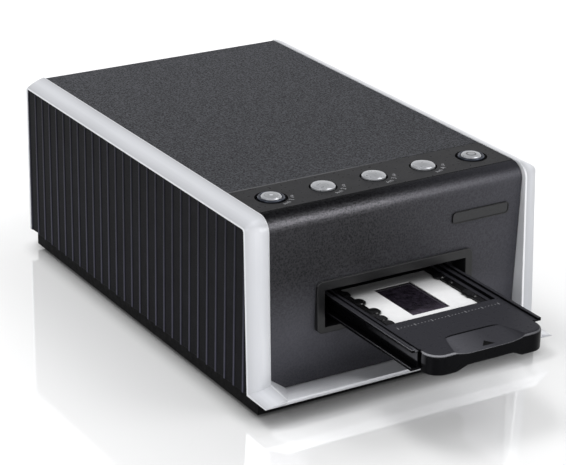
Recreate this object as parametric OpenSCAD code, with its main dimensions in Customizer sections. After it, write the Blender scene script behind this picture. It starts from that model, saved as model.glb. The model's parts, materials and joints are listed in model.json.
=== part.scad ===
// Desktop scanner for framed slides and film strips. Millimetres, Z up, the front faces -Y.
// The origin is on the table under the middle of the housing.

/* [Housing] */
// Overall width across the two side frames
housing_w = 172; // [170:1:186]
// Height of the top edge above the table
housing_h = 100; // [98:1:108]
// Distance from the middle of the base to the rear edge
rear_y = 133; // [132:1:150]
// Width of each bevelled side band
band_w = 10.6; // [9.8:0.2:10.8]
// How far the band slopes down to its outer edge
bevel_drop = 4.9; // [3:0.1:7]
// Height of the side frames' underside above the table
frame_bottom = 10; // [9:0.5:11]
// Thickness of the moulded covers
cover_t = 2.6; // [2.2:0.1:2.8]
// Visible gap between a cover and its neighbour
seam = 0.4; // [0.3:0.1:0.6]

/* [Side panels] */
// Distance from one slat ridge to the next
slat_pitch = 8.8; // [6:0.2:12]
// Width of the flat ridge on each slat
slat_ridge = 0.9; // [0.6:0.1:1.6]
// Depth of the step behind each ridge
slat_step = 0.9; // [0.6:0.1:2]

/* [Front] */
// Radius of the front panel's rounded top edge
panel_top_r = 7.9; // [7:0.1:9]
// Thickness of the front panel
panel_t = 2.5; // [2:0.1:3]
// Width of the bare name plate
badge_w = 34.6; // [20:0.2:44]
// Height of the bare name plate
badge_h = 6.2; // [4:0.2:8]
// Clearance beside the slide holder in its slot
slot_gap = 4.5; // [3.5:0.1:5.5]
// Clearance under the slide holder in its slot
slot_under = 3.6; // [2:0.2:4.4]
// Clearance above the slide holder in its slot
slot_over = 5; // [4:0.2:5.6]
// Visible width of the frame round the slot
bezel_rim = 4.2; // [3.4:0.2:6]

/* [Buttons] */
// Distance from the middle of an outer button to the end of the strip
button_edge = 15.6; // [14:0.2:19]
// Diameter of the three middle buttons
cap_d = 12.2; // [11:0.1:14]
// Diameter of the two ringed outer buttons
ringed_cap_d = 10.4; // [9:0.1:11]
// How far a button stands above the strip
cap_rise = 1.2; // [0.8:0.1:1.6]
// How far a button travels
press_depth = 1.0; // [0.6:0.1:1]

/* [Slide holder] */
// Width across the holder's rails
holder_w = 75; // [74:0.2:75.2]
// How far the handle stands out from the middle of the base
handle_y = 188.5; // [186:0.5:196]
// How far each side of the handle lies inside the rail
handle_inset = 4; // [2.6:0.1:4.8]
// Radius of the handle's front corners
handle_r = 8.5; // [6:0.5:10]
// Radius of the handle's top edge
handle_edge_r = 1.5; // [0.6:0.1:2]
// Side of a square slide mount
mount_side = 50; // [49:0.1:50.4]
// Space from one slide mount to the next
slide_gap = 3.8; // [3.4:0.1:4.4]
// Thickness of a slide mount
mount_t = 1.4; // [1:0.1:2]

/* [Drive] */
// Diameter of the drive shaft
drive_shaft_d = 4; // [3:0.1:5]
// Diameter of the pinch shaft
pinch_shaft_d = 3; // [2:0.1:3]
// Running clearance between a shaft and its bush, on the radius
bush_gap = 0.05; // [0.02:0.01:0.09]

/* [Hidden] */
$fn = 48;

silver = "#c8cbd0";
satin = "#b4b8bd";
black = "#17181b";
charcoal = "#33353a";
steel = "#9a9da1";
board_green = "#1f5a3a";

outer_x = housing_w / 2;
inner_x = outer_x - band_w;
cover_x = inner_x - seam;
top_z = housing_h - 0.4;
cover_z = top_z - cover_t;
outer_top = housing_h - bevel_drop;
rear_bevel = 0.2;
band_bulge = 0.65;

// Front faces: the side bands rake forward towards the table, the panel rakes back.
band_rake = 0.052;
outer_rake = 0.0598;
panel_rake = 0.0306;
panel_round_y = -102;
panel_round_z = top_z - 0.1 - panel_top_r;
panel_low = 6.9;
toe_y = -132.1;
toe_z = 14.2;
toe_low_y = -129.2;
toe_edge = 1.3;
tray_front_y = -103.9;
tray_low = 2;
tray_t = 2;
skirt_x = outer_x - 2.4;
skirt_front_y = -118;
skirt_gap = 0.3;
sill_root_y = tray_front_y - 0.1;
sill_root_z = 3.9;
sill_back_y = -107.2;
sill_back_z = 6.4;
panel_front_y = panel_round_y - panel_top_r;

// Side panel seat in the frame's outer face
panel_seat = 4;
panel_edge = 0.5;
panel_rear_edge = 1.2;
panel_gap = 0.3;

// Bare name plate
badge_x = cover_x - 24.8;
badge_z = panel_round_z - 13.3;
badge_rim = 0.45;

// Button strip
button_count = 5;
strip_front_y = panel_round_y + 0.3;
strip_back_y = -72.9;
button_y = -87.5;
ledge_r = ringed_cap_d / 2 + 0.8;
flange_r = cap_d / 2 + 1.2;
flange_t = 1.4;
flange_gap = 0.3;
board_top = cover_z - 10.4;
switch_top = board_top + 4.6;
stem_r = 2;
button_pitch = (cover_x - button_edge) * 2 / (button_count - 1);
button_xs = [for (i = [0:button_count - 1]) (i - (button_count - 1) / 2) * button_pitch];
post_xs = [for (i = [0, 1, 2, 3]) (i - 1.5) * button_pitch];

// Slide holder
rail_x = holder_w / 2;
rail_top = 50.6;
holder_low = 40;
rail_lip = 1.5;
rail_front_y = -177.5;
web_x = rail_x - 3.9;
rail_groove_x = rail_x - 1.9;
mount_gap = 0.1;
clip_x = mount_side / 2 + 0.7;
beam_in = clip_x + 3.8;
handle_w = holder_w - 2 * handle_inset;
handle_top = rail_top - 0.4;
deck_low = 43.5;
deck_top = 46;
pocket_front_y = -148.3;
first_pocket_y = pocket_front_y + mount_side / 2 + 0.2;
pocket_count = 4;
pocket_pitch = mount_side + slide_gap;
holder_back_y = first_pocket_y + (pocket_count - 1) * pocket_pitch + mount_side / 2 + 9.7;
window_w = 24;
window_l = 36;
film_w = 24;
film_l = 36;
mount_low = deck_top + mount_gap;
mount_top = mount_low + mount_t;
mount_x = 0.4;

// Slot in the front panel, round the holder
slot_w = holder_w + 2 * slot_gap;
slot_low = holder_low - slot_under;
slot_high = rail_top + slot_over;

// Drive and guides
side_plate_x = slot_w / 2 + 2;
side_plate_t = 2.5;
side_plate_top = slot_high + 4.4;
chassis_low = 8;
chassis_front_y = -99.5;
chassis_back_y = rear_y - 14;
roller_y = -80;
drive_z = 34;
drive_roller_x = rail_x - 7;
drive_roller_r = holder_low - drive_z - 0.2;
pinch_roller_r = 4;
pinch_z = rail_top + pinch_roller_r + 0.2;
gear_module = 0.8;
roller_teeth = 40;
pinion_teeth = 10;
gear_x = -side_plate_x - 10;
gear_t = 4;
roller_pitch_r = gear_module * roller_teeth / 2;
pinion_pitch_r = gear_module * pinion_teeth / 2;
pinion_y = roller_y + roller_pitch_r + pinion_pitch_r;
bracket_x = gear_x - 3;
motor_len = inner_x + bracket_x - 3;
bracket_foot = motor_len - 3.4;

// Optics
scan_y = -91.5;
optic_z = 21;
bench_x = 22;
lamp_x = beam_in + 0.5;
lamp_low = rail_top + 2.9;
lamp_top = board_top - 6.6;
bench_front_y = scan_y - 10;
bench_back_y = 34;
lens_y = -28;

// Board over the chassis, with the sockets at the rear
main_board_z = side_plate_top + 6;
main_board_x = side_plate_x + 18;
main_board_back = rear_y - 8;
socket_x = 30;
rear_panel_y = rear_y - 5;
rear_panel_t = 2.5;
rear_boss_z = [30, housing_h - 16];

// A box between two opposite corners
module span(low, high) {
  translate(low) cube(high - low);
}

// Extrudes an outline drawn in the YZ plane along X
module along_x(x, length) {
  translate([x, 0, 0]) rotate([90, 0, 90]) linear_extrude(length) children();
}

// Extrudes an outline drawn in the XZ plane along Y
module along_y(y, length) {
  translate([0, y + length, 0]) rotate([90, 0, 0]) linear_extrude(length) children();
}

// A round bar along X
module bar_x(x, length, y, z, r) {
  translate([x, y, z]) rotate([0, 90, 0]) cylinder(r = r, h = length);
}

// A round bar along Y
module bar_y(y, length, x, z, r) {
  translate([x, y + length, z]) rotate([90, 0, 0]) cylinder(r = r, h = length);
}

// Everything in it, and again mirrored to the other side
module both_sides() {
  children();
  mirror([1, 0, 0]) children();
}

// A rectangle with round corners, centred
module rounded_rect(w, h, r) {
  square([w - 2 * r, h], center = true);
  square([w, h - 2 * r], center = true);
  for (x = [-1, 1], y = [-1, 1]) {
    translate([x * (w / 2 - r), y * (h / 2 - r)]) circle(r = r);
  }
}

// Points along an arc
function arc(c, r, from, to, n) = [
  for (i = [0:n]) c + r * [cos(from + (to - from) * i / n), sin(from + (to - from) * i / n)]
];

// Y of the panel's front face and of the two frame edges at a height
function panel_y(z) = panel_front_y + (panel_round_z - z) * panel_rake;
function band_y(z) = -112 - (housing_h - z) * band_rake;
function outer_y(z) = -106.7 - (outer_top - z) * outer_rake;

// Side frame: its outline at the inner plane
function band_outline() = concat(
  arc([rear_y - 2, housing_h - 2], 2, 0, 90, 5),
  arc([-104.4, housing_h - 8], 8, 90, 177, 12),
  [[band_y(frame_bottom), frame_bottom], [rear_y, frame_bottom]]
);

// Its outline at the outer face, drawn in by an inset all round and by another at the rear
function face_outline(inset, rear_inset, low) = concat(
  arc([rear_y - rear_bevel - rear_inset + inset - 1, outer_top - 1], 1 - inset, 0, 90, 5),
  arc([-104.82, outer_top - 2], 2 - inset, 90, 176, 12),
  [[outer_y(low) + inset, low], [rear_y - rear_bevel - rear_inset, low]]
);

// The outline on the slightly domed band between them, from 0 at the inner plane to 1
function mid_outline(t) =
  let (f = t * (1 - band_bulge + band_bulge * t))
  band_outline() * (1 - f) + face_outline(0, 0, frame_bottom) * f;

module side_frame() {
  difference() {
    union() {
      hull() for (t = [0:0.2:1]) {
        along_x(inner_x + (band_w - 0.1) * t, 0.1) polygon(mid_outline(t));
      }
      frame_toe();
      frame_ledges();
      for (z = rear_boss_z) {
        span([inner_x - 13, rear_panel_y - 12, z - 5], [inner_x + 1, rear_panel_y, z + 5]);
      }
    }
    along_x(outer_x - panel_seat, 10)
      polygon(face_outline(panel_edge, panel_rear_edge, frame_bottom - 1));
    for (z = rear_boss_z) {
      bar_y(rear_panel_y - 10, 11, inner_x - 8, z, 1.45);
    }
  }
}

// The foot of the band, which runs forward in front of the panel
module frame_toe() {
  hull() {
    along_x(inner_x, 0.1) polygon([
      [band_y(15.3), 15.3], [toe_y, toe_z], [toe_y, toe_z - toe_edge],
      [toe_low_y, frame_bottom + 0.2],
      [-108, frame_bottom], [-108, 15.3]
    ]);
    along_x(outer_x - 0.1, 0.1) polygon([
      [outer_y(10.9), frame_bottom + 0.9], [toe_low_y, frame_bottom + 0.2],
      [toe_low_y + 0.4, frame_bottom], [-108, frame_bottom]
    ]);
  }
}

// Ledges on the frame's inner face that carry the covers and back the front panel
module frame_ledges() {
  ledge_top = panel_round_z - 3.6;
  span([inner_x - 3.4, strip_front_y + 2, cover_z - 3], [inner_x + 1, rear_panel_y - 1, cover_z]);
  along_x(inner_x - 3.4, 4.4) polygon([
    [panel_y(24) + panel_t, 24], [panel_y(24) + panel_t + 4, 24],
    [panel_y(ledge_top) + panel_t + 4, ledge_top], [panel_y(ledge_top) + panel_t, ledge_top]
  ]);
}

module right_frame() {
  color(silver) side_frame();
}

module left_frame() {
  color(silver) mirror([1, 0, 0]) side_frame();
}

// Saw-tooth section of the side panel, seen from above
function slat_section() =
  let (n = ceil((rear_y + 116) / slat_pitch), face = outer_x - 0.1, y0 = -106.9 - slat_pitch)
  concat(
    [[outer_x - panel_seat, y0]],
    [for (k = [0:n], p = [0:3])
      let (y = y0 + k * slat_pitch)
      p == 0 ? [face, y - slat_ridge / 2] : p == 1 ? [face, y + slat_ridge / 2] :
      p == 2 ? [face - slat_step, y + slat_ridge / 2 + 0.3] :
      [face - slat_step * 0.45, y + slat_pitch - slat_ridge / 2 - 0.5]],
    [[outer_x - panel_seat, y0 + (n + 1) * slat_pitch - slat_ridge]]
  );

module side_panel() {
  intersection() {
    translate([0, 0, frame_bottom]) linear_extrude(outer_top - frame_bottom)
      polygon(slat_section());
    along_x(outer_x - panel_seat, 10)
      polygon(face_outline(panel_edge + panel_gap, panel_rear_edge + panel_gap, frame_bottom));
  }
}

module right_side_panel() {
  color(black) side_panel();
}

module left_side_panel() {
  color(black) mirror([1, 0, 0]) side_panel();
}

module top_cover() {
  color(charcoal) {
    span([-cover_x, strip_back_y + 0.5, cover_z], [cover_x, rear_panel_y, top_z]);
    both_sides() {
      span([cover_x - 6, strip_back_y + 4, cover_z - 5], [cover_x - 4, rear_panel_y - 14, cover_z]);
    }
    for (y = [strip_back_y + 4, 28, rear_panel_y - 14]) {
      span([-cover_x + 5, y - 1, cover_z - 5], [cover_x - 5, y + 1, cover_z]);
    }
  }
}

// Strip that carries the buttons, with a guide sleeve round each flange
module button_strip() {
  color(black) difference() {
    union() {
      span([-cover_x, strip_front_y, cover_z], [cover_x, strip_back_y, top_z]);
      for (x = button_xs) {
        translate([x, button_y, cover_z - 5.5]) cylinder(r = flange_r + 1.8, h = 5.6);
      }
      for (x = post_xs) {
        translate([x, button_y, board_top]) cylinder(r = 3, h = cover_z - board_top + 0.1);
      }
    }
    for (i = [0:button_count - 1]) translate([button_xs[i], button_y, 0]) {
      translate([0, 0, cover_z - 6]) cylinder(r = flange_r + 0.5, h = 6);
      translate([0, 0, cover_z - 1]) cylinder(r = hole_r(i), h = cover_t + 2);
      if (is_ringed(i)) {
        translate([0, 0, top_z - 1.6]) cylinder(r = ringed_cap_d / 2 + 2.5, h = 3);
      }
    }
    for (x = post_xs) {
      translate([x, button_y, board_top - 1]) cylinder(r = 1.4, h = 9);
    }
  }
}

function is_ringed(i) = i == 0 || i == button_count - 1;
function cap_r(i) = (is_ringed(i) ? ringed_cap_d : cap_d) / 2;
function hole_r(i) = is_ringed(i) ? ledge_r : cap_d / 2 + 0.5;

module button_rings() {
  color(satin) for (i = [0, button_count - 1]) {
    translate([button_xs[i], button_y, 0]) rotate_extrude() polygon([
      [cap_r(i) + 0.3, top_z - 1.6], [cap_r(i) + 1.6, top_z - 1.6], [cap_r(i) + 1.6, top_z + 0.3],
      [cap_r(i) + 1.2, top_z + 0.8], [cap_r(i) + 0.7, top_z + 0.8], [cap_r(i) + 0.3, top_z + 0.4]
    ]);
  }
}

// A push button: domed cap, flange under the strip and a stem over its switch
module push_button(i) {
  r = cap_r(i);
  top = top_z + cap_rise;
  flange_top = cover_z - flange_gap;
  dome = 60;
  color(silver) translate([button_xs[i], button_y, 0]) {
    intersection() {
      rotate_extrude() polygon([
        [0, flange_top - flange_t], [flange_r, flange_top - flange_t], [flange_r, flange_top],
        [r, flange_top], [r, top - 0.6], [r - 0.5, top - 0.1], [r - 0.5, top + 1], [0, top + 1]
      ]);
      translate([0, 0, top + 0.2 - dome]) sphere(r = dome, $fn = 96);
    }
    translate([0, 0, switch_top + press_depth + 0.1])
      cylinder(r = stem_r, h = flange_top - flange_t - switch_top - press_depth);
  }
}

module button_1() {
  push_button(0);
}

module button_2() {
  push_button(1);
}

module button_3() {
  push_button(2);
}

module button_4() {
  push_button(3);
}

module button_5() {
  push_button(4);
}

// Section of the front panel: a raked sheet that rolls over into the top
module panel_section() {
  polygon([
    [panel_y(panel_low), panel_low], [panel_y(panel_low) + panel_t, panel_low],
    [panel_front_y + panel_t, panel_round_z], [panel_front_y, panel_round_z]
  ]);
  translate([panel_round_y, panel_round_z]) intersection() {
    difference() {
      circle(r = panel_top_r, $fn = 96);
      circle(r = panel_top_r - panel_t, $fn = 96);
    }
    translate([-20, 0]) square(20);
  }
}

module front_panel() {
  color(charcoal) difference() {
    along_x(-cover_x, 2 * cover_x) panel_section();
    span([-slot_w / 2 - 1.5, -130, slot_low - 1.4], [slot_w / 2 + 1.5, -95, slot_high + 1.4]);
  }
}

// Frame round the slot: a wedge-shaped flange on the panel and a throat through it
module slot_bezel() {
  mid_z = (slot_low + slot_high) / 2 + 0.8;
  low = slot_low - bezel_rim + 1.2;
  high = slot_high + bezel_rim + 0.4;
  color(black) difference() {
    union() {
      intersection() {
        along_y(-120, 20) translate([0, (low + high) / 2])
          rounded_rect(slot_w + 2 * bezel_rim, high - low, 3);
        along_x(-60, 120) polygon([
          [-110.3 - (57 - low) * band_rake, low], [panel_y(low), low],
          [panel_y(high), high], [-110.3 - (57 - high) * band_rake, high]
        ]);
      }
      along_y(-109, 9) translate([0, mid_z - 0.8])
        square([slot_w + 2.6, slot_high - slot_low + 2.4], center = true);
    }
    span([-slot_w / 2, -130, slot_low], [slot_w / 2, -95, slot_high]);
  }
}

// Bare plate with a thin raised rim
module badge_plate() {
  color(black) translate([badge_x, panel_y(badge_z), badge_z])
    rotate([90 + atan(panel_rake), 0, 0]) {
      linear_extrude(0.5) rounded_rect(badge_w, badge_h, 2);
      linear_extrude(0.8) difference() {
        rounded_rect(badge_w, badge_h, 2);
        rounded_rect(badge_w - 2 * badge_rim, badge_h - 2 * badge_rim, 2 - badge_rim);
      }
    }
}

// Sloping sill between the toes, with a gusset in each inner corner
module sill() {
  color(satin) {
    along_x(-inner_x, 2 * inner_x) polygon([
      [toe_y, toe_z], [toe_y, toe_z - toe_edge], [toe_low_y, frame_bottom + 0.2],
      [sill_root_y, sill_root_z],
      [sill_root_y, sill_back_z - 0.4], [sill_back_y, sill_back_z]
    ]);
    both_sides() hull() {
      along_x(inner_x - 0.1, 0.1) polygon([
        [toe_y, toe_z], [panel_y(16.5) - 0.1, 16.5], [panel_y(5) - 0.1, 5]
      ]);
      along_x(inner_x - 14.1, 0.1) polygon([
        [sill_back_y - 0.6, sill_back_z - 0.2], [sill_back_y - 0.2, sill_back_z + 0.1],
        [sill_back_y - 0.2, sill_back_z - 0.3]
      ]);
    }
  }
}

chassis_screw_xy = [for (x = [6 - side_plate_x, side_plate_x - 6], y = [-70, rear_y - 37]) [x, y]];

// Height of the sill's sloping underside
function sill_low(y) =
  sill_root_z + (frame_bottom + 0.2 - sill_root_z) * (y - sill_root_y) / (toe_low_y - sill_root_y);

// Tray between the frames, on a wider plate with a low skirt under frames and sill
module base_tray() {
  front = tray_front_y;
  back = rear_panel_y - 0.2;
  floor_z = tray_low + tray_t;
  skirt_top = frame_bottom - skirt_gap;
  color(black) difference() {
    union() {
      difference() {
        span([-inner_x, front, tray_low], [inner_x, back, 22]);
        span([-inner_x + 2, front + 1.8, floor_z], [inner_x - 2, back - 2, 30]);
      }
      along_x(-skirt_x, 2 * skirt_x) polygon([
        [skirt_front_y, tray_low], [back, tray_low], [back, tray_low + 1.4],
        [skirt_front_y + 2, tray_low + 1.4], [skirt_front_y + 2, sill_low(skirt_front_y + 2) - 0.5],
        [skirt_front_y, sill_low(skirt_front_y) - 0.5]
      ]);
      both_sides() {
        span([skirt_x - 2, skirt_front_y, tray_low], [skirt_x, back, skirt_top]);
        span([inner_x + 0.4, skirt_front_y, tray_low], [skirt_x, skirt_front_y + 2, skirt_top]);
      }
      for (p = chassis_screw_xy) {
        translate([p[0], p[1], tray_low + 0.5]) cylinder(r = 5, h = chassis_low - tray_low - 0.5);
      }
    }
    for (p = chassis_screw_xy) translate([p[0], p[1], 0]) {
      cylinder(r = 3.2, h = tray_low + 2.2);
      cylinder(r = 1.7, h = 12);
    }
  }
}

module feet() {
  x = inner_x - 13.4;
  color("#202020") for (p = [[0, 0], [-x, -88], [x, -88], [-x, rear_y - 20], [x, rear_y - 20]]) {
    translate([p[0], p[1], 0]) {
      cylinder(r1 = 7.4, r2 = 8, h = 0.6);
      translate([0, 0, 0.6]) cylinder(r = 8, h = tray_low - 0.6);
    }
  }
}

module base_screws() {
  color(steel) for (p = chassis_screw_xy) translate([p[0], p[1], 0]) difference() {
    union() {
      translate([0, 0, tray_low + 0.4]) cylinder(r = 2.9, h = 1.8);
      translate([0, 0, tray_low + 2.1]) cylinder(r = 1.5, h = 6);
    }
    translate([0, 0, tray_low - 0.5]) cylinder(r = 1.5, h = 1.9, $fn = 6);
  }
}

module rear_panel() {
  z0 = 5.9;
  color(charcoal) difference() {
    along_y(rear_panel_y, rear_panel_t) translate([0, (z0 + top_z) / 2])
      square([2 * cover_x, top_z - z0], center = true);
    span([socket_x - 6.4, rear_panel_y - 2, main_board_z + 1.4],
      [socket_x + 6.4, rear_y + 2, main_board_z + 13]);
    span([-socket_x - 4.9, rear_panel_y - 2, main_board_z + 1.4],
      [-socket_x + 4.9, rear_y + 2, main_board_z + 13]);
    for (i = [-9:9]) {
      span([i * 5 - 1.1, rear_panel_y - 2, 20], [i * 5 + 1.1, rear_y + 2, 42]);
    }
    for (x = [-1, 1], z = rear_boss_z) {
      bar_y(rear_panel_y - 2, 8, x * (inner_x - 8), z, 1.6);
    }
  }
}

module rear_screws() {
  color(steel) for (x = [-1, 1], z = rear_boss_z) difference() {
    union() {
      bar_y(rear_panel_y + rear_panel_t, 1.4, x * (inner_x - 8), z, 2.8);
      bar_y(rear_panel_y - 8, 10.6, x * (inner_x - 8), z, 1.4);
    }
    translate([x * (inner_x - 8), rear_y + 1, z]) rotate([90, 0, 0])
      cylinder(r = 1.3, h = 2.4, $fn = 6);
  }
}

// Outline of the handle from above, with round front corners
module handle_outline(inset) {
  half = handle_w / 2 - inset;
  r = handle_r - inset;
  front = -handle_y + inset;
  translate([-half, front + r]) square([2 * half, pocket_front_y - front - r]);
  translate([-half + r, front]) square([2 * (half - r), r + 1]);
  for (s = [-1, 1]) {
    translate([s * (half - r), front + r]) circle(r = r, $fn = 64);
  }
}

// Open channel along each side, which runs in the guide rails
module holder_rail() {
  length = holder_back_y - rail_front_y;
  along_y(rail_front_y, length) {
    polygon([
      [web_x - 1.5, holder_low], [rail_x, holder_low], [rail_x, holder_low + rail_lip],
      [web_x + 0.5, holder_low + rail_lip], [web_x + 0.5, rail_top - rail_lip],
      [rail_x, rail_top - rail_lip], [rail_x, rail_top], [rail_groove_x, rail_top],
      [rail_groove_x, rail_top - 1], [handle_w / 2, rail_top - 1],
      [handle_w / 2, handle_top], [web_x - 1.5, handle_top]
    ]);
    translate([beam_in, holder_low]) square([web_x - beam_in, rail_top - 2 - holder_low]);
  }
}

// Thin slice of the handle's rounded top edge, at an angle up the round
module handle_layer(a) {
  translate([0, 0, handle_top - handle_edge_r * (1 - sin(a)) - 0.01])
    linear_extrude(0.01) handle_outline(handle_edge_r * (1 - cos(a)));
}

// Half of the finger scoop's section, from its flat floor up the side
function scoop_side(s) = [for (i = [0:8]) [s * (10.5 + 2 * i), 4 * (1 - cos(90 * i / 8))]];

// Finger scoop with rounded sides that deepens towards the front edge
module finger_scoop() {
  scoop_w = 44;
  scoop_r = 12;
  left = scoop_side(-1);
  translate([-0.2, -172, handle_top]) intersection() {
    translate([0, 0, -3]) linear_extrude(6) {
      translate([-scoop_w / 2, -40]) square([scoop_w, 40 - scoop_r]);
      translate([-scoop_w / 2 + scoop_r, -scoop_r - 1]) square([scoop_w - 2 * scoop_r, scoop_r + 1]);
      for (s = [-1, 1]) {
        translate([s * (scoop_w / 2 - scoop_r), -scoop_r]) circle(r = scoop_r);
      }
    }
    translate([0, 0, -0.45]) rotate([5.4, 0, 0]) along_y(-40, 50)
      polygon(concat(scoop_side(1), [for (i = [8:-1:0]) left[i]]));
  }
}

module slide_holder() {
  color(black) difference() {
    union() {
      translate([0, 0, holder_low]) linear_extrude(handle_top - handle_edge_r - holder_low)
        handle_outline(0);
      for (a = [0, 30, 60]) hull() {
        handle_layer(a);
        handle_layer(a + 30);
      }
      both_sides() holder_rail();
      span([-beam_in - 1, pocket_front_y - 1, deck_low], [beam_in + 1, holder_back_y, deck_top]);
      span([-web_x, holder_back_y - 8, holder_low], [web_x, holder_back_y, handle_top]);
      for (k = [1:pocket_count - 1]) {
        translate([-beam_in - 1, first_pocket_y + (k - 0.5) * pocket_pitch - 1.2, deck_top - 1])
          cube([2 * beam_in + 2, 2.4, 2.6]);
      }
    }
    for (k = [0:pocket_count - 1]) {
      translate([mount_x, first_pocket_y + k * pocket_pitch, 40])
        cube([window_w, window_l, 20], center = true);
    }
    finger_scoop();
    // Upright groove between the end of each rail and the handle
    both_sides() span([handle_w / 2 - 2, rail_front_y - 2.2, holder_low - 1],
      [rail_x + 1, rail_front_y, handle_top - 0.9]);
    // Relief along the lower front edge
    along_y(-handle_y - 1, 18) polygon([
      [-19.5, holder_low - 1], [-19.5, holder_low], [-13, holder_low + 2.3],
      [13, holder_low + 2.3], [18.5, holder_low], [18.5, holder_low - 1]
    ]);
  }
}

// Sprung strips whose round lobes reach over the edges of the mounts.
// Each lobe has its place along the pocket and its reach over the edge.
left_lobes = [[18, 0.6], [7, 2.2], [-5.5, 2.6], [-14, 0.8], [-20.4, 0.6]];
right_lobes = [[14, 1.6], [-9, 0.9], [-12.5, 1]];

module clip_strips() {
  lobe_r = 3.5;
  lobe_low = mount_top + 0.35;
  color(black) for (k = [0:pocket_count - 1]) translate([0, first_pocket_y + k * pocket_pitch, 0]) {
    both_sides() span([clip_x, -mount_side / 2 + 1, deck_top],
      [beam_in, mount_side / 2 - 1, deck_top + 2.4]);
    intersection() {
      for (s = [-1, 1], lobe = s < 0 ? left_lobes : right_lobes) {
        translate([mount_x + s * (mount_side / 2 - lobe[1] + lobe_r), lobe[0], lobe_low]) {
          cylinder(r = lobe_r, h = 0.5);
          translate([0, 0, 0.5]) cylinder(r1 = lobe_r, r2 = lobe_r - 0.7, h = 0.5);
        }
      }
      cube([2 * beam_in, mount_side, 200], center = true);
    }
    translate([clip_x + 1.65, 5, mount_top - 0.7]) intersection() {
      sphere(r = 2.4);
      translate([-4, -4, 1.1]) cube([8, 8, 4]);
    }
  }
}

module slide_mount() {
  mid = [mount_x, first_pocket_y];
  color("white") difference() {
    translate([mid[0] - mount_side / 2, mid[1] - mount_side / 2, mount_low])
      cube([mount_side, mount_side, mount_t]);
    translate([mid[0] - 11, mid[1] - 17.2, mount_low - 1]) cube([22, 34.4, mount_t + 2]);
    translate([mid[0] - film_w / 2 - 0.1, mid[1] - film_l / 2 - 0.1, mount_low + mount_t / 2 - 0.2])
      cube([film_w + 0.2, film_l + 0.2, 0.4]);
  }
}

module film_chip() {
  color("#2a2430")
    translate([mount_x - film_w / 2, first_pocket_y - film_l / 2, mount_low + mount_t / 2 - 0.15])
    cube([film_w, film_l, 0.3]);
}

// Folded carrier inside the housing: two side plates on a floor
module chassis() {
  front = chassis_front_y;
  back = chassis_back_y;
  color(steel) difference() {
    union() {
      both_sides() span([side_plate_x, front, chassis_low],
        [side_plate_x + side_plate_t, back, side_plate_top]);
      span([-side_plate_x - 1, front, chassis_low], [side_plate_x + 1, back, chassis_low + 2]);
      span([-side_plate_x - 1, back - 3, chassis_low], [side_plate_x + 1, back, 30]);
    }
    bar_x(-outer_x, housing_w, roller_y, drive_z, drive_shaft_d / 2 + 1.5);
    bar_x(-outer_x, housing_w, roller_y, pinch_z, pinch_shaft_d / 2 + 1.2);
    for (y = [-40, 0, 40, 80]) {
      span([-outer_x, y - 11, 16], [outer_x, y + 11, 31]);
    }
    for (p = chassis_screw_xy) {
      translate([p[0], p[1], 0]) cylinder(r = 1.55, h = 20);
    }
  }
}

// Channels that hold the holder's rails from above, below and the side
module guide_rails() {
  guide_x = rail_x - 2.5;
  length = chassis_back_y - chassis_front_y;
  color(charcoal) both_sides() difference() {
    along_y(chassis_front_y, length) difference() {
      translate([guide_x, holder_low - 3.3])
        square([side_plate_x - guide_x, rail_top + 2 - holder_low + 3.3]);
      translate([guide_x - 1, holder_low - 0.3])
        square([rail_x + 1.5 - guide_x, rail_top - holder_low + 0.6]);
    }
    span([guide_x - 1, roller_y - 6, rail_top], [rail_x + 0.5, roller_y + 6, rail_top + 9]);
  }
}

module bush(x, z, r) {
  difference() {
    union() {
      bar_x(x, side_plate_t, roller_y, z, r + 1.2);
      bar_x(x > 0 ? x + side_plate_t : x - 0.6, 0.6, roller_y, z, r + 2.4);
    }
    bar_x(x - 2, 8, roller_y, z, r + bush_gap);
  }
}

module shaft_bushes() {
  color("#b98b3a") for (x = [-side_plate_x - side_plate_t, side_plate_x]) {
    bush(x, drive_z, drive_shaft_d / 2);
    bush(x, pinch_z, pinch_shaft_d / 2);
  }
}

module drive_shaft() {
  end = side_plate_x + side_plate_t + 0.7;
  color(steel) {
    bar_x(gear_x - 1, end + 1.8 - gear_x, roller_y, drive_z, drive_shaft_d / 2);
    bar_x(end, 1, roller_y, drive_z, drive_shaft_d / 2 + 1);
  }
}

module roller_pair(mid, width, r, bore, z) {
  for (x = [-mid, mid]) difference() {
    bar_x(x - width / 2, width, roller_y, z, r);
    bar_x(x - width, 2 * width, roller_y, z, bore);
  }
}

module drive_rollers() {
  color("#26262a") roller_pair(drive_roller_x, 6, drive_roller_r, drive_shaft_d / 2, drive_z);
}

module pinch_shaft() {
  reach = side_plate_x + side_plate_t + 1.7;
  color(steel) {
    bar_x(-reach, 2 * reach, roller_y, pinch_z, pinch_shaft_d / 2);
    for (x = [-reach, reach - 1]) {
      bar_x(x, 1, roller_y, pinch_z, pinch_shaft_d / 2 + 1);
    }
  }
}

module pinch_rollers() {
  color("#26262a") roller_pair(rail_x - 1.7, 3, pinch_roller_r, pinch_shaft_d / 2, pinch_z);
}

// Section of a spur gear with straight-sided teeth, thinned for backlash
function gear_section(teeth, turn) =
  let (pitch_r = gear_module * teeth / 2, step = 360 / teeth)
  [for (i = [0:teeth - 1], p = [0:3])
    let (
      side = p < 2 ? -1 : 1,
      tip = p == 1 || p == 2,
      r = tip ? pitch_r + 0.85 * gear_module : pitch_r - 1.15 * gear_module,
      a = turn + i * step + side * step * (tip ? 0.1 : 0.27)
    )
    [r * cos(a), r * sin(a)]];

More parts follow.
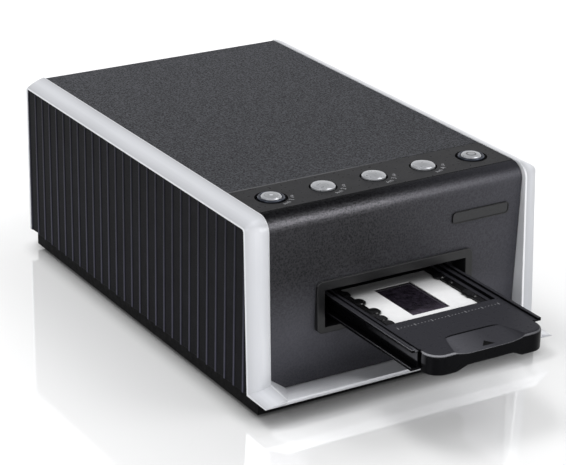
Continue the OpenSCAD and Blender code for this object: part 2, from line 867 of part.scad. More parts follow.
module roller_gear() {
  color("#d8d4c4") difference() {
    union() {
      translate([gear_x, roller_y, drive_z]) rotate([90, 0, 90])
        linear_extrude(gear_t) polygon(gear_section(roller_teeth, 0));
      bar_x(gear_x + gear_t - 0.1, -side_plate_x - side_plate_t - 0.7 - gear_x - gear_t + 0.1,
        roller_y, drive_z, drive_shaft_d / 2 + 1.6);
    }
    bar_x(gear_x - 2, 12, roller_y, drive_z, drive_shaft_d / 2);
    for (a = [0:60:300]) {
      translate([gear_x - 1, roller_y + 9.5 * cos(a), drive_z + 9.5 * sin(a)])
        rotate([0, 90, 0]) cylinder(r = 2.6, h = gear_t + 2);
    }
  }
}

module motor_pinion() {
  color("#c9a84c") {
    translate([gear_x, pinion_y, drive_z]) rotate([90, 0, 90])
      linear_extrude(gear_t) polygon(gear_section(pinion_teeth, 180 / pinion_teeth));
    bar_x(bracket_x - 5, gear_x + gear_t + 0.4 - bracket_x + 5, pinion_y, drive_z, 1);
  }
}

module motor_bracket() {
  color(steel) difference() {
    union() {
      span([bracket_x, pinion_y - 16, tray_low + 2], [bracket_x + 1.5, pinion_y + 16, drive_z + 16]);
      span([bracket_x - bracket_foot, pinion_y - 16, tray_low + 2],
        [bracket_x, pinion_y + 16, tray_low + 3.5]);
    }
    bar_x(bracket_x - 2, 6, pinion_y, drive_z, 3.6);
    for (s = [-1, 1]) {
      translate([bracket_x - bracket_foot / 2, pinion_y + s * 11, tray_low])
        cylinder(r = 1.6, h = 6);
    }
  }
}

module drive_motor() {
  color("#8c8f94") difference() {
    union() {
      bar_x(bracket_x - motor_len, motor_len, pinion_y, drive_z, 12.5);
      bar_x(bracket_x, 1.5, pinion_y, drive_z, 3.5);
      span([bracket_x - 1, pinion_y - 15, drive_z - 3.5], [bracket_x, pinion_y + 15, drive_z + 3.5]);
    }
    bar_x(bracket_x - 5.5, 10, pinion_y, drive_z, 1 + bush_gap);
  }
}

module lamp_housing() {
  front = scan_y - 7;
  back = scan_y + 6;
  color(charcoal) difference() {
    union() {
      span([-lamp_x, front, lamp_low], [lamp_x, back, lamp_top]);
      span([-side_plate_x - side_plate_t, front, side_plate_top],
        [side_plate_x + side_plate_t, back, side_plate_top + 1.6]);
    }
    span([-lamp_x + 2, front + 1.6, lamp_low - 1.5], [lamp_x - 2, back - 1.6, lamp_top - 2]);
  }
}

module lamp_board() {
  color(board_green) {
    span([-lamp_x + 2, scan_y - 5, lamp_top - 3.6], [lamp_x - 2, scan_y + 4, lamp_top - 2]);
    for (x = [-20:8:20]) {
      span([x - 1.5, scan_y - 2, lamp_top - 4.8], [x + 1.5, scan_y + 1, lamp_top - 3.5]);
    }
  }
}

module lamp_diffuser() {
  color("#eef2f5")
    span([-lamp_x + 2, scan_y - 5.4, lamp_low + 1.5], [lamp_x - 2, scan_y + 4.4, lamp_low + 3.5]);
}

// Open trough with a wedge for the mirror and a saddle for the lens
module optics_bench() {
  wedge = optic_z - 2 * sqrt(2) + scan_y - 12;
  color(charcoal) difference() {
    union() {
      difference() {
        span([-bench_x, bench_front_y, chassis_low + 2], [bench_x, bench_back_y, 30]);
        span([-bench_x + 2.5, bench_front_y + 2, 12], [bench_x - 2.5, bench_back_y - 2.5, 40]);
      }
      along_x(-bench_x + 2, 2 * bench_x - 4) polygon([
        [bench_front_y + 1, 11.5], [wedge, 11.5], [wedge, 12], [bench_front_y + 2, wedge_top()],
        [bench_front_y + 1, wedge_top()]
      ]);
      span([-12, lens_y - 8, 11.5], [12, lens_y + 8, 25]);
    }
    bar_y(lens_y - 10, 20, 0, optic_z, 8.05);
  }
}

function wedge_top() = optic_z - 2 * sqrt(2) + scan_y - bench_front_y - 2;

module fold_mirror() {
  color("#dfe6ea") translate([0, scan_y, optic_z]) rotate([-45, 0, 0])
    translate([-19, -7.5, -2]) cube([38, 15, 2]);
}

module lens_barrel() {
  color(black) difference() {
    union() {
      bar_y(lens_y - 12, 24, 0, optic_z, 8);
      bar_y(lens_y - 12, 3, 0, optic_z, 8.6);
    }
    bar_y(lens_y - 20, 40, 0, optic_z, 6);
  }
}

module lens_glass() {
  color("#9fc4d8") for (s = [-1, 1]) {
    translate([0, lens_y + s * 8, optic_z]) intersection() {
      bar_y(-2, 4, 0, 0, 6);
      translate([0, 0, 0]) sphere(r = 6.25);
      translate([0, -s * 10.5, 0]) sphere(r = 12.3);
    }
  }
}

module sensor_board() {
  color(board_green) span([-18, bench_back_y - 4.1, 12], [18, bench_back_y - 2.5, 29]);
}

module sensor_chip() {
  y = bench_back_y - 4.1;
  color("#4a4030") difference() {
    span([-16, y - 2.6, optic_z - 4], [16, y, optic_z + 4]);
    span([-13, y - 4, optic_z - 1.5], [13, y - 1.6, optic_z + 1.5]);
  }
}

standoff_y = [30, rear_y - 24];

module main_board() {
  color(board_green) difference() {
    span([-main_board_x, 20, main_board_z], [main_board_x, main_board_back, main_board_z + 1.6]);
    for (s = [-1, 1], y = standoff_y) {
      translate([s * (side_plate_x + side_plate_t / 2), y, main_board_z - 1])
        cylinder(r = 1.6, h = 4);
    }
  }
}

module board_standoffs() {
  color(steel) for (s = [-1, 1], y = standoff_y) {
    translate([s * (side_plate_x + side_plate_t / 2), y, side_plate_top]) {
      cylinder(r = 2.5, h = main_board_z - side_plate_top, $fn = 6);
      cylinder(r = 1.5, h = main_board_z - side_plate_top + 3);
    }
  }
}

module board_parts() {
  z = main_board_z + 1.6;
  color("#222428") {
    for (p = [[-20, 60, 20], [18, 48, 14], [18, 80, 16], [-44, 44, 9]]) {
      span([p[0] - p[2] / 2, p[1] - p[2] / 2, z], [p[0] + p[2] / 2, p[1] + p[2] / 2, z + 2.4]);
    }
    for (p = [[-52, 84], [-52, 98], [52, 92]]) {
      translate([p[0], p[1], z]) cylinder(r = 4, h = 11);
    }
    span([8, 24, z], [32, 30, z + 7]);
  }
}

module usb_port() {
  y = rear_panel_y + rear_panel_t - 0.1;
  z = main_board_z + 1.6;
  color("#b8bcc0") difference() {
    span([socket_x - 6, y - 16, z], [socket_x + 6, y, z + 11]);
    difference() {
      span([socket_x - 4.4, y - 9, z + 1.4], [socket_x + 4.4, y + 1, z + 9.6]);
      span([socket_x - 2.8, y - 10, z + 3.9], [socket_x + 2.8, y - 1, z + 7.1]);
    }
  }
}

module dc_jack() {
  y = rear_panel_y + rear_panel_t - 0.1;
  z = main_board_z + 1.6;
  color(black) difference() {
    span([-socket_x - 4.5, y - 14, z], [-socket_x + 4.5, y, z + 11]);
    difference() {
      bar_y(y - 9, 10, -socket_x, z + 6, 3.1);
      bar_y(y - 10, 9, -socket_x, z + 6, 1);
    }
  }
}

module button_board() {
  color(board_green) difference() {
    span([-button_pitch * 2 - 9, button_y - 9.5, board_top - 1.6],
      [button_pitch * 2 + 9, button_y + 9.5, board_top]);
    for (x = post_xs) {
      translate([x, button_y, board_top - 3]) cylinder(r = 1.6, h = 5);
    }
  }
}

module button_switches() {
  color("#3a3a3e") for (x = button_xs) translate([x, button_y, board_top]) {
    translate([-3, -3, 0]) cube([6, 6, 3.5]);
    translate([0, 0, 3.4]) cylinder(r = 1.75, h = switch_top - board_top - 3.4);
  }
}

module board_screws() {
  color(steel) for (x = post_xs) translate([x, button_y, board_top - 1.6]) difference() {
    union() {
      translate([0, 0, -1.8]) cylinder(r = 2.7, h = 1.8);
      translate([0, 0, -0.1]) cylinder(r = 1.35, h = 8);
    }
    translate([0, 0, -2.8]) cylinder(r = 1.3, h = 2, $fn = 6);
  }
}

left_frame();
right_frame();
left_side_panel();
right_side_panel();
top_cover();
button_strip();
button_rings();
front_panel();
slot_bezel();
badge_plate();
sill();
base_tray();
rear_panel();
feet();
base_screws();
rear_screws();
button_1();
button_2();
button_3();
button_4();
button_5();
slide_holder();
clip_strips();
slide_mount();
film_chip();
chassis();
guide_rails();
shaft_bushes();
drive_shaft();
drive_rollers();
roller_gear();
pinch_shaft();
pinch_rollers();
motor_bracket();
drive_motor();
motor_pinion();
lamp_housing();
lamp_board();
lamp_diffuser();
optics_bench();
fold_mirror();
lens_barrel();
lens_glass();
sensor_board();
sensor_chip();
main_board();
board_standoffs();
board_parts();
usb_port();
dc_jack();
button_board();
button_switches();
board_screws();
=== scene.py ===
import json
import math

import bmesh
import bpy
from mathutils import Matrix, Vector

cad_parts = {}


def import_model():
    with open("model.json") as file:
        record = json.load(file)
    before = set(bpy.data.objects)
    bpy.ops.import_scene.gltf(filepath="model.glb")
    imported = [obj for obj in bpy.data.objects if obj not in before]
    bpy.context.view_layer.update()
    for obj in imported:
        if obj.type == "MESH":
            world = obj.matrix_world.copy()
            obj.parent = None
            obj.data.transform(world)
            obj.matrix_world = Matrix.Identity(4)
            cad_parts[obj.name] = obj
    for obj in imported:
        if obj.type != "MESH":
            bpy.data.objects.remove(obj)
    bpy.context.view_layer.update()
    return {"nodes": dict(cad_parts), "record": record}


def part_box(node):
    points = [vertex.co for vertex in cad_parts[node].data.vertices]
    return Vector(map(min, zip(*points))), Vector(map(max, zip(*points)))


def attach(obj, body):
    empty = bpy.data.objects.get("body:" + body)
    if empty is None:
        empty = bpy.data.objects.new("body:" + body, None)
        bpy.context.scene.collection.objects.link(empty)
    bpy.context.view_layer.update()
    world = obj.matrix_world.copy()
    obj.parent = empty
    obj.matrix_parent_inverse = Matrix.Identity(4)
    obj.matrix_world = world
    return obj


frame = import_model()
nodes = frame["nodes"]
scene = bpy.context.scene
METRE = 1000  # mm
MM = 1 / METRE

# ---------------------------------------------------------------- places taken from the frame, in mm
BAND_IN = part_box("sill")[1][0] / MM
BAND_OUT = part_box("right_frame")[1][0] / MM
BAND_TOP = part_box("right_frame")[1][2] / MM
REAR_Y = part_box("right_frame")[1][1] / MM
SLAT_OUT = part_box("right_side_panel")[1][0] / MM
COVER_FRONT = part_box("top_cover")[0][1] / MM
STRIP_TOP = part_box("button_strip")[1][2] / MM
HOLDER_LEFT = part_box("slide_holder")[0][0] / MM
HOLDER_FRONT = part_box("slide_holder")[0][1] / MM
RAIL_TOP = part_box("slide_holder")[1][2] / MM
HANDLE_TOP = RAIL_TOP - 0.4
BUTTON_Y = (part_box("button_3")[0][1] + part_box("button_3")[1][1]) / 2 / MM
BUTTON_PITCH = (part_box("button_5")[1][0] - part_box("button_4")[1][0]) / MM
BUTTON_COUNT = 5
RINGED_BUTTONS = (0, BUTTON_COUNT - 1)


def button_middle(i):
    """Middle of a button in mm, counted from 0 at the left."""
    return (i - (BUTTON_COUNT - 1) / 2) * BUTTON_PITCH, BUTTON_Y


# ---------------------------------------------------------------- camera, fitted to the photo
PHOTO_WIDTH = 566
FOCAL_PIXELS = 2087.0
SHIFT_PIXELS = (60, -20)
SENSOR_WIDTH = 36.0
CAM_PLACE = Vector((-0.55068, -0.88341, 0.4663))
CAM_AZIMUTH, CAM_ELEVATION, CAM_ROLL = 0.528303, -0.381137, 0.008285


def turned(azimuth, elevation, roll):
    """Right, up and ahead directions of a camera turned by these angles, in radians."""
    ahead = Vector((math.sin(azimuth) * math.cos(elevation), math.cos(azimuth) * math.cos(elevation),
                    math.sin(elevation)))
    right = ahead.cross(Vector((0, 0, 1))).normalized()
    up = right.cross(ahead)
    return (right * math.cos(roll) + up * math.sin(roll), up * math.cos(roll) - right * math.sin(roll), ahead)


def make_camera():
    data = bpy.data.cameras.new("camera")
    data.sensor_fit = "HORIZONTAL"
    data.sensor_width = SENSOR_WIDTH
    data.lens = FOCAL_PIXELS / PHOTO_WIDTH * SENSOR_WIDTH
    data.shift_x = SHIFT_PIXELS[0] / PHOTO_WIDTH
    data.shift_y = SHIFT_PIXELS[1] / PHOTO_WIDTH
    data.clip_start, data.clip_end = 0.05, 50
    cam = bpy.data.objects.new("camera", data)
    scene.collection.objects.link(cam)
    right, up, ahead = turned(CAM_AZIMUTH, CAM_ELEVATION, CAM_ROLL)
    place = Matrix((right, up, -ahead)).transposed().to_4x4()
    place.translation = CAM_PLACE
    cam.matrix_world = place
    bpy.context.scene.camera = cam


# ---------------------------------------------------------------- node trees
class Tree:
    """The shader nodes of a material or of the world, with short calls for what repeats."""

    def __init__(self, owner, output):
        owner.use_nodes = True
        self.tree = owner.node_tree
        self.tree.nodes.clear()
        self.out = self.node(output)

    def put(self, value, socket):
        """Gives a socket a plain value, or links another node's output to it."""
        if isinstance(value, bpy.types.NodeSocket):
            self.tree.links.new(value, socket)
        else:
            socket.default_value = value

    def node(self, kind, inputs=None, **settings):
        """A new node with its settings and, by name or number, its inputs."""
        new = self.tree.nodes.new(kind)
        for name, value in settings.items():
            setattr(new, name, value)
        for name, value in (inputs or {}).items():
            self.put(value, new.inputs[name])
        return new

    def calc(self, kind, *values):
        """One step of arithmetic on numbers or outputs."""
        return self.node("ShaderNodeMath", dict(enumerate(values)), operation=kind).outputs[0]

    def vector(self, kind, *values):
        """One step of arithmetic on vectors."""
        new = self.node("ShaderNodeVectorMath", dict(enumerate(values)), operation=kind)
        return new.outputs["Value" if kind in ("LENGTH", "DISTANCE") else "Vector"]

    def chain(self, kind, values):
        """The same step over all values in turn."""
        out = values[0]
        for value in values[1:]:
            out = self.calc(kind, out, value)
        return out

    def plus(self, *values):
        return self.chain("ADD", values)

    def times(self, *values):
        return self.chain("MULTIPLY", values)

    def most(self, *values):
        return self.chain("MAXIMUM", values)

    def fade(self, value, start, end, first=0.0, last=1.0):
        """Goes from first to last while the value goes from start to end, and stays level outside."""
        limits = {"Value": value, "From Min": start, "From Max": end, "To Min": first, "To Max": last}
        return self.node("ShaderNodeMapRange", limits).outputs[0]

    def seen_directly(self):
        """1 for camera, glossy and transmission rays, 0 for the light that falls on things."""
        path = self.node("ShaderNodeLightPath").outputs
        return self.most(path["Is Camera Ray"], path["Is Glossy Ray"], path["Is Transmission Ray"])

    def mixed(self, share, first, second):
        """Two shaders mixed by a share from 0 to 1."""
        return self.node("ShaderNodeMixShader", {0: share, 1: first, 2: second}).outputs[0]


# ---------------------------------------------------------------- materials
NOISE_LOW, NOISE_HIGH = 0.3, 0.7  # most of a noise lies between these
MIX_SHARE, MIX_FIRST, MIX_SECOND, MIX_RESULT = 0, 6, 7, 2  # sockets of a Mix node for colours
AO_SAMPLES = 12


class Mat(Tree):
    """A principled material that is put together step by step, with patterns fixed to the frame."""

    def __init__(self, name, color, rough, metallic=0.0, coat=0.0, specular=0.5):
        self.material = bpy.data.materials.new(name)
        super().__init__(self.material, "ShaderNodeOutputMaterial")
        self.shader = self.node("ShaderNodeBsdfPrincipled", {
            "Base Color": (*color, 1), "Roughness": rough, "Metallic": metallic, "Coat Weight": coat,
            "Coat Roughness": 0.12, "Specular IOR Level": specular})
        self.put(self.shader.outputs[0], self.out.inputs[0])
        self.color = color
        self.tone = None
        self.normal = None
        self.grain = None
        self.place = self.node("ShaderNodeTexCoord").outputs["Object"]
        self.split = self.node("ShaderNodeSeparateXYZ", {0: self.place})

    # patterns, with sizes in mm
    def stretched(self, sx, sy, sz):
        """The place with its axes scaled, for patterns that run one way."""
        return self.node("ShaderNodeMapping", {"Scale": (sx, sy, sz), "Vector": self.place}).outputs[0]

    def noise(self, size, detail=2.0, rough=0.5, vector=None):
        inputs = {"Scale": METRE / size, "Detail": detail, "Roughness": rough, "Vector": vector or self.place}
        return self.node("ShaderNodeTexNoise", inputs).outputs["Fac"]

    def cells(self, size, feature="SMOOTH_F1", randomness=1.0):
        inputs = {"Scale": METRE / size, "Randomness": randomness, "Vector": self.place}
        return self.node("ShaderNodeTexVoronoi", inputs, feature=feature).outputs["Distance"]

    # masks
    def axis(self, name):
        return self.split.outputs[name]

    def side_reach(self):
        """How far a point lies from the middle plane, in metres."""
        return self.calc("ABSOLUTE", self.axis("X"))

    def along(self, name, start, end, first=0.0, last=1.0):
        """Fades between two places in mm along an axis."""
        return self.fade(self.axis(name), start * MM, end * MM, first, last)

    def between(self, name, low, high, soft):
        """1 between two places in mm along an axis, fading over the soft width at each of them."""
        return self.times(self.along(name, low - soft, low + soft),
                          self.along(name, high - soft, high + soft, 1, 0))

    def facing(self, name):
        """How far the surface faces along an axis, from -1 to 1, with its rounding and relief so far."""
        return self.node("ShaderNodeSeparateXYZ", {0: self.normal}).outputs[name]

    def on_edge(self, low, high):
        """1 on an edge that is rounded between upright and level, 0 on the faces beside it."""
        up = self.facing("Z")
        soft = 0.12
        return self.times(self.fade(up, low, low + soft), self.fade(up, high - soft, high, 1, 0))

    def across_band(self):
        """0 in the middle of the side band and 1 at both of its edges."""
        off_middle = self.fade(self.side_reach(), BAND_IN * MM, BAND_OUT * MM, -1, 1)
        return self.calc("POWER", self.calc("ABSOLUTE", off_middle), 1.4)

    def away_from(self, middle):
        """Distance from an upright line at a place in mm, in metres."""
        level = self.vector("MULTIPLY", self.place, (1, 1, 0))
        return self.vector("DISTANCE", level, (middle[0] * MM, middle[1] * MM, 0))

    # base colour
    def shade(self, share):
        """The material's colour, darker or lighter."""
        return tuple(v * share for v in self.color)

    def ramp(self, value, stops):
        """A colour ramp through pairs of a place from 0 to 1 and a colour."""
        new = self.node("ShaderNodeValToRGB", {"Fac": value})
        elements = new.color_ramp.elements
        while len(elements) < len(stops):
            elements.new(0.5)
        for i, (at, color) in enumerate(stops):
            elements[i].position = at
            elements[i].color = (*color, 1)
        return new.outputs["Color"]

    def blend(self, share, first, second, kind="MIX"):
        """Two colours mixed or multiplied."""
        inputs = {MIX_SHARE: share, MIX_FIRST: first, MIX_SECOND: second}
        return self.node("ShaderNodeMix", inputs, data_type="RGBA", blend_type=kind).outputs[MIX_RESULT]

    def paint(self, tone):
        """Makes an output the base colour."""
        self.tone = tone
        self.put(tone, self.shader.inputs["Base Color"])

    def shades(self, value, dark, light, start=NOISE_LOW, end=NOISE_HIGH):
        """Base colour between two shades."""
        self.paint(self.ramp(value, [(start, self.shade(dark)), (end, self.shade(light))]))

    def tint(self, mask, color):
        """Base colour drawn towards another one where the mask is 1."""
        self.paint(self.blend(mask, self.tone, (*color, 1)))

    # surface
    def bend(self, new):
        """Hands the normal on through a bevel or bump node."""
        if self.normal is not None:
            self.put(self.normal, new.inputs["Normal"])
        self.normal = new.outputs["Normal"]
        self.put(self.normal, self.shader.inputs["Normal"])

    def rounded(self, radius):
        """Edges that look rounded by a radius in mm."""
        self.bend(self.node("ShaderNodeBevel", {"Radius": radius * MM}, samples=6))

    def bump(self, height, depth, strength):
        """Relief with a depth in mm."""
        inputs = {"Height": height, "Distance": depth * MM, "Strength": strength}
        self.bend(self.node("ShaderNodeBump", inputs))

    def roughness(self, value, low, high):
        """Roughness that varies with a noise."""
        self.put(self.fade(value, NOISE_LOW, NOISE_HIGH, low, high), self.shader.inputs["Roughness"])

    def reflected(self, color):
        """Tints the reflections of a surface that is seen head-on."""
        self.shader.inputs["Specular Tint"].default_value = (*color, 1)


def painted_silver():
    """Satin silver with painted shade towards the band's edges and a painted highlight line on both of them.

    The two front faces carry painted shade, and the right one a painted highlight line at its inner edge."""
    a = Mat("silver_paint", (0.76, 0.77, 0.80), 0.34, metallic=0.25)
    across = a.across_band()
    streaks = a.noise(1.3, 3.0, vector=a.stretched(1, 0.03, 0.03))
    cloud = a.noise(38, 2.0, vector=a.stretched(1, 0.5, 0.5))
    mix = a.plus(a.times(across, 0.75), a.times(streaks, 0.2), a.times(cloud, 0.3))
    # painted shade: the band darkens from its middle towards its edges; streaks and cloud are random tone
    a.shades(mix, 0.98, 0.72, 0.25, 0.95)
    # painted highlight: a pale line along both edges of the band
    a.tint(a.fade(across, 0.86, 0.95), (0.80, 0.81, 0.83))
    a.rounded(0.9)
    ahead = a.fade(a.facing("Y"), -0.9, -0.6, 1, 0)
    left = a.times(a.along("X", -10, 10, 0.22, 0), a.along("Z", BAND_TOP - 25, BAND_TOP - 10, 1, 0))
    # painted shade on the left front face, below its top
    a.tint(a.times(ahead, left), (0.5, 0.51, 0.54))
    line_end = BAND_IN + 1.3
    # painted highlight: a white line on the inner edge of the right front face
    a.tint(a.times(ahead, a.between("X", BAND_IN - 0.1, line_end, 0.1)), (0.98, 0.98, 1.0))
    # painted shade on the right front face beside that line, darker towards its outer edge and lower down
    outer = a.times(a.along("X", line_end - 0.1, line_end + 0.2),
                    a.along("X", line_end + 0.3, BAND_OUT - 1, 0.55, 1.1), a.along("Z", 30, 88, 0.85, 0.45))
    a.tint(a.times(ahead, outer), (0.44, 0.45, 0.48))
    a.bump(a.noise(0.25, 1.0), 0.006, 0.6)
    a.roughness(a.noise(14, 3.0), 0.3, 0.38)
    return a.material


def sill_silver():
    """Silver that is brushed from side to side."""
    a = Mat("sill_silver", (0.79, 0.80, 0.83), 0.36, metallic=0.12)
    a.shades(a.noise(0.4, 3.0, vector=a.stretched(0.04, 1, 1)), 0.92, 1.06)
    a.rounded(0.7)
    a.tint(a.on_edge(0.1, 0.8), (0.78, 0.79, 0.82))
    a.bump(a.noise(0.2, 2.0, vector=a.stretched(0.03, 1, 1)), 0.006, 0.7)
    a.roughness(a.noise(20, 2.0), 0.32, 0.4)
    return a.material


def slat_black():
    """Black slats with painted highlights on their outer ridges, strongest near the table."""
    a = Mat("slat_black", (0.004, 0.004, 0.0056), 0.42, specular=0.045)
    # painted highlight on the outer ridges, strongest low down
    ridge_highlight = a.times(a.fade(a.side_reach(), (SLAT_OUT - 0.35) * MM, (SLAT_OUT - 0.02) * MM),
                    a.along("Z", 20, 88, 1, 0.35))
    a.shades(a.plus(ridge_highlight, a.times(a.noise(9, 4.0), 0.12)), 0.7, 14.0, 0.05, 1.0)
    a.rounded(0.35)
    a.bump(a.noise(0.4, 2.0), 0.02, 0.6)
    a.roughness(a.noise(0.7, 3.0), 0.36, 0.5)
    return a.material


def grained(name, shade, rough, specular, cell, dark, light, relief):
    """Moulded plastic with a fine leather grain; cell and relief are in mm."""
    a = Mat(name, (shade, shade * 1.02, shade * 1.12), rough, specular=specular)
    a.grain = a.plus(a.times(a.cells(cell), 0.8), a.noise(cell * 0.6, 2.0, 0.6))
    a.shades(a.grain, dark, light, 0.5, 1.1)
    a.rounded(0.4)
    a.bump(a.grain, relief, 0.9)
    a.roughness(a.noise(1.1, 2.0), rough * 0.9, rough * 1.12)
    return a


def charcoal(name):
    return grained(name, shade=0.034, rough=0.55, specular=0.03, cell=0.85, dark=0.0, light=2.4, relief=0.24)


def cover_charcoal():
    """Grained cover with painted shade towards its front and a thin painted highlight on the front edge of
    its left half.
    """
    a = charcoal("cover_charcoal")
    # painted shade: darker towards the front
    a.tint(a.along("Y", -30, 130, 0.16, 0), (0.002, 0.002, 0.002))
    # painted highlight along the front edge, on the left half
    front = a.along("Y", COVER_FRONT + 0.4, COVER_FRONT + 0.7, 1, 0)
    a.tint(a.times(front, a.along("X", -10, 30, 1, 0)), (0.13, 0.13, 0.135))
    return a.material


def panel_black():
    """Grained front panel: matt, with painted shade, at the top of its round, and painted light towards its
    foot and right side.
    """
    a = grained("grain_black", shade=0.0052, rough=0.42, specular=0.30, cell=1.0, dark=0.4, light=3.6,
                relief=0.08)
    up = a.facing("Z")
    gloss = a.times(a.fade(up, 0.56, 0.84, 0.30, 0.03), a.along("X", -20, 80, 1, 0.5),
                    a.fade(a.grain, 0.55, 1.1, 0.72, 1.2))
    a.put(gloss, a.shader.inputs["Specular IOR Level"])
    a.reflected((0.94, 0.92, 1.0))
    # painted light: paler towards the foot of the panel and towards its right side
    foot = a.times(a.along("Z", 18, 66, 1, 0), a.along("Z", 12, 36, 0.42, 0.96))
    a.tint(a.most(foot, a.along("X", -20, 70, 0, 0.47)), (0.096, 0.096, 0.113))
    # painted shade on the top of the round
    a.tint(a.fade(up, 0.55, 0.75, 0, 0.5), (0.0004, 0.0004, 0.0006))
    return a.material


def smooth_black(name, shade, rough, edge=0.3, specular=0.2, lip_highlight=None):
    """Smooth plastic; lip_highlight is the shade of a painted highlight on its upward edges."""
    a = Mat(name, (shade, shade, shade * 1.08), rough, specular=specular)
    a.shades(a.noise(11, 3.0), 0.86, 1.14)
    a.rounded(edge)
    if lip_highlight:
        # painted highlight on upward edges
        a.tint(a.on_edge(0.3, 0.92), (lip_highlight, lip_highlight, lip_highlight * 1.06))
    a.bump(a.noise(0.3, 2.0), 0.006, 0.6)
    a.roughness(a.noise(2.5, 3.0), rough * 0.88, rough * 1.15)
    return a.material


def holder_black():
    """Black, with painted light on its top, in its finger scoop and on its left inner web, and painted
    highlights on its front edge and left rail lips.
    """
    a = Mat("holder_black", (0.002, 0.002, 0.0024), 0.28, specular=0.04)
    a.shades(a.noise(11, 3.0), 0.86, 1.14)
    a.rounded(0.8)
    level = a.fade(a.facing("Z"), 0.9, 0.985)
    # painted light on the level top faces
    a.tint(a.times(level, a.along("Z", RAIL_TOP - 2.8, RAIL_TOP - 2.3)), (0.030, 0.030, 0.035))
    # painted light in the finger scoop, strongest at its left end
    scoop = a.times(level, a.between("Z", RAIL_TOP - 3.1, RAIL_TOP - 0.6, 0.1),
                    a.along("Y", HOLDER_FRONT + 16, HOLDER_FRONT + 17, 1, 0), a.along("X", -21, 4, 1, 0.12))
    a.tint(scoop, (0.085, 0.085, 0.095))
    # painted light on the left inner web, fading towards the rear
    web = a.times(a.fade(a.facing("X"), -0.9, -0.7, 1, 0),
                  a.between("Z", RAIL_TOP - 6.1, RAIL_TOP - 1.4, 0.3),
                  a.along("Y", HOLDER_FRONT + 11.5, HOLDER_FRONT + 53.5, 1, 0),
                  a.along("X", HOLDER_LEFT + 3.5, HOLDER_LEFT + 4.5, 1, 0))
    a.tint(web, (0.075, 0.075, 0.082))
    front = a.times(a.along("Y", HOLDER_FRONT + 9, HOLDER_FRONT + 10, 1, 0), a.along("X", -20, 34, 1, 0.4))
    rail = a.times(a.along("X", HOLDER_LEFT + 3, HOLDER_LEFT + 4, 1, 0),
                   a.along("Y", HOLDER_FRONT + 18.5, HOLDER_FRONT + 63.5, 1, 0.25))
    lip_highlight = a.most(a.along("Z", RAIL_TOP - 5.4, RAIL_TOP - 5),
                 a.along("X", HOLDER_LEFT - 0.1, HOLDER_LEFT + 0.3, 1, 0))
    # painted highlights on upward edges along the front and on the left rail's lips
    a.tint(a.times(a.on_edge(0.3, 0.92), a.most(front, a.times(rail, lip_highlight))), (0.24, 0.24, 0.255))
    a.bump(a.noise(0.3, 2.0), 0.006, 0.6)
    a.roughness(a.noise(2.5, 3.0), 0.26, 0.34)
    a.reflected((0.9, 0.9, 1.0))
    return a.material


def badge_black():
    """A plate like the panel round it, in a thin dark outline."""
    a = Mat("badge_black", (0.016, 0.0163, 0.018), 0.36, specular=0.4)
    a.shades(a.noise(1.1, 3.0), 0.82, 1.2)
    a.rounded(0.25)
    low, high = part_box("badge_plate")
    edges = []
    for name, i in (("X", 0), ("Z", 2)):
        off_middle = a.calc("ABSOLUTE", a.calc("SUBTRACT", a.axis(name), (low[i] + high[i]) / 2))
        reach = (high[i] - low[i]) / 2
        edges.append(a.fade(off_middle, reach - 0.65 * MM, reach - 0.45 * MM))
    a.tint(a.most(*edges), (0.002, 0.002, 0.0024))
    a.bump(a.noise(0.3, 2.0), 0.008, 0.6)
    a.roughness(a.noise(2.5, 3.0), 0.32, 0.42)
    return a.material


# In these tables the rise towards the rim is a painted highlight, and the darker middle of PLAIN_CAP is
# painted shade.
PLAIN_CAP = ((0.0, 0.78), (0.45, 0.92), (0.8, 1.12), (1.0, 1.2))
DISC_CAP = ((0.0, 1.7), (0.16, 1.7), (0.2, 0.72), (0.6, 0.95), (0.64, 0.55), (0.7, 1.0), (0.9, 1.2),
            (1.0, 1.2))
POWER_CAP = ((0.0, 0.85), (0.34, 0.9), (0.38, 0.3), (0.5, 0.3), (0.54, 0.95), (1.0, 1.2))


def button_silver(name, middle, radius, rings):
    """Brushed cap with rings round its middle, given as pairs of a share of the radius and a shade, that also
    hold a painted highlight towards the rim.
    """
    a = Mat(name, (0.48, 0.49, 0.51), 0.32, metallic=0.6)
    outwards = a.fade(a.away_from(middle), 0, radius * MM)
    pattern = a.ramp(outwards, [(at, (v, v, v)) for at, v in rings])
    a.shades(a.noise(1.6, 3.0, vector=a.stretched(1, 0.25, 1)), 0.93, 1.05)
    a.paint(a.blend(1.0, a.tone, pattern, "MULTIPLY"))
    a.rounded(0.4)
    a.bump(a.noise(0.12, 2.0, vector=a.stretched(1, 0.15, 1)), 0.004, 0.7)
    a.roughness(a.noise(3, 2.0), 0.26, 0.36)
    return a.material


def mount_white():
    """Card frame with painted shade that darkens it close to other pieces."""
    a = Mat("mount_white", (0.86, 0.86, 0.86), 0.55)
    a.shades(a.noise(6, 3.0), 0.97, 1.02)
    # painted shade: ambient occlusion darkens the base colour near other pieces
    shade_near = {"Distance": 18 * MM, "Color": a.tone}
    a.paint(a.node("ShaderNodeAmbientOcclusion", shade_near, samples=AO_SAMPLES).outputs["Color"])
    a.rounded(0.25)
    a.bump(a.noise(0.3, 2.0), 0.008, 0.5)
    a.roughness(a.noise(2, 2.0), 0.5, 0.62)
    return a.material


